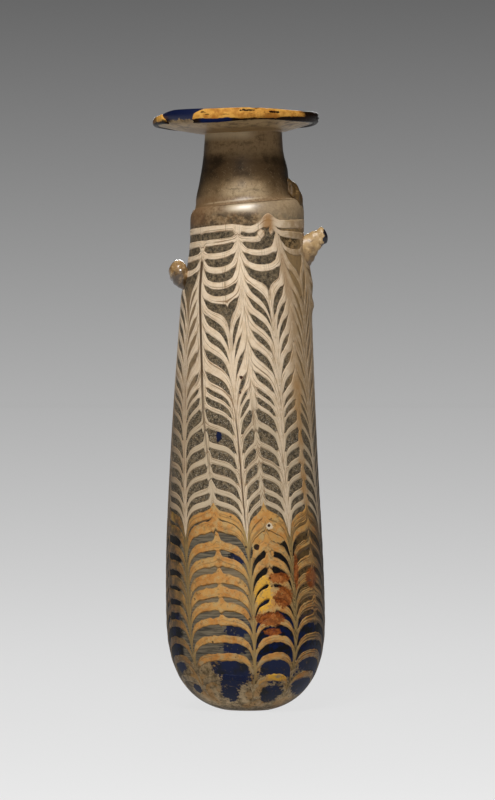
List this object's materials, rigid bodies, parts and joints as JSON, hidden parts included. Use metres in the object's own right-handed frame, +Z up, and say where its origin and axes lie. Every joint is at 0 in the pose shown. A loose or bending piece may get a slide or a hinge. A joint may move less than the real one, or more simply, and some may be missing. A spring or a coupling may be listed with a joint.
{
  "type": "alabastron",
  "caption": "Tall bag-shaped core-formed glass scent vessel with a narrow neck, broad rim disk, small side lugs and combed feather threads.",
  "frame": {"origin": "centre of the small rest flat under the base, on the body's axis", "axes": "+Z up along the body's axis, +X to the right and -Y towards the viewer of the pictured side"},
  "size_m": [0.0436, 0.0416, 0.149],
  "materials": {
    "cobalt_glass": "opaque-looking dark cobalt glass under a brown-grey weathering film",
    "filmed_glass": "dark glass under a thin beige film with a soft sheen",
    "white_glass": "opaque cream glass thread, worn satin",
    "yellow_glass": "opaque yellow-ochre glass thread, worn satin",
    "lug_glass": "filmed amber-brown glass, glossy on the knob"
  },
  "bodies": {
    "root": {"body": "cobalt_glass", "neck": "filmed_glass", "rim_disk": "cobalt_glass", "rim_trail": "yellow_glass", "left_lug": "lug_glass", "right_lug": "lug_glass", "collar_trail": "white_glass", "white_trail": "white_glass", "yellow_trail": "yellow_glass"}
  },
  "joints": []
}
